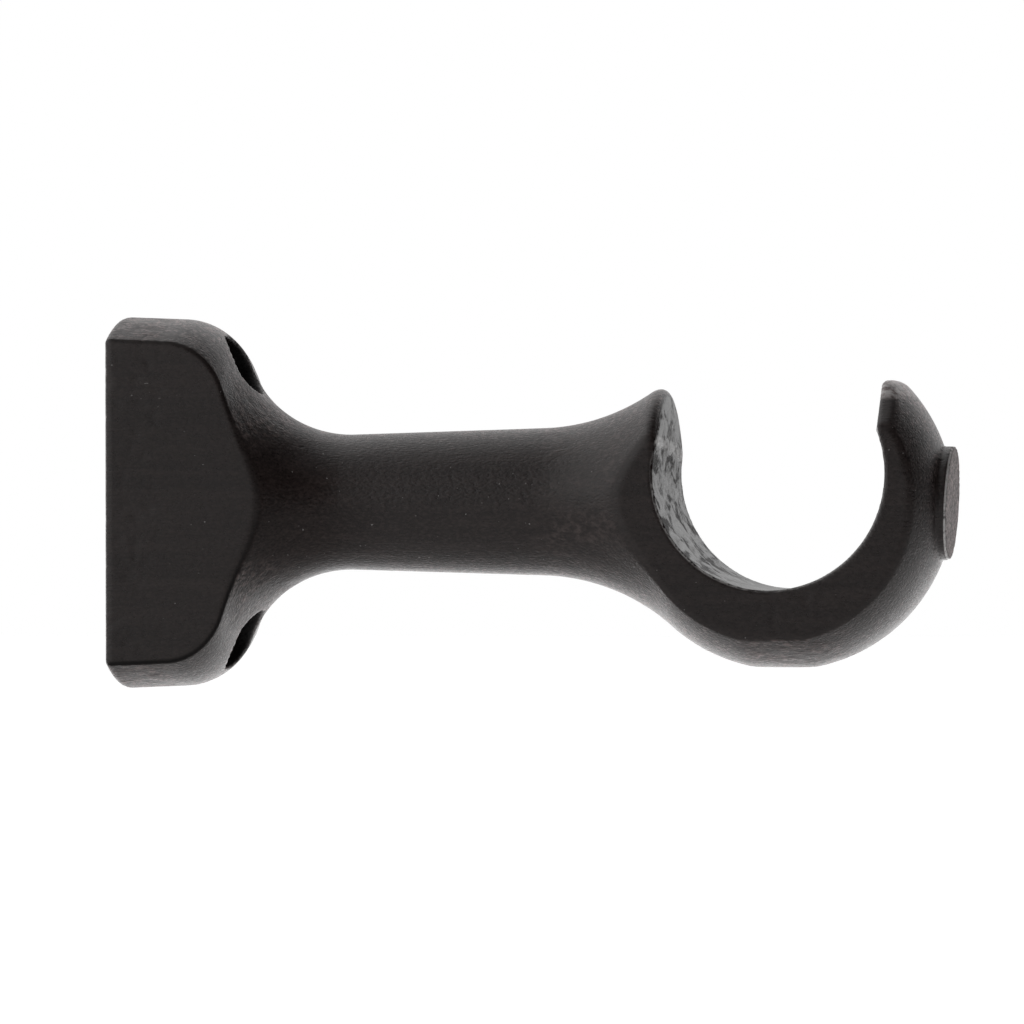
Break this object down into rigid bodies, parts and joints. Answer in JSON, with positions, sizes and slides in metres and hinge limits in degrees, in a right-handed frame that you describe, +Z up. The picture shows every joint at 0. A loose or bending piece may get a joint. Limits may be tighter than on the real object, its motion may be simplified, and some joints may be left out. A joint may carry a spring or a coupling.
{
  "type": "curtain pole bracket",
  "caption": "Turned wooden wall bracket with a flat-sided base, a round waisted arm and a head with an open-topped seat for a curtain pole.",
  "frame": {"origin": "centre of the wall face, on the turning axis of the arm", "axes": "+X out of the wall along the arm, Y along the pole, +Z up, out of the slot that the pole drops through"},
  "size_m": [0.1123, 0.025, 0.05],
  "materials": {
    "stained_wood": "satin dark stain"
  },
  "bodies": {
    "root": {"bracket_body": "stained_wood"}
  },
  "joints": []
}
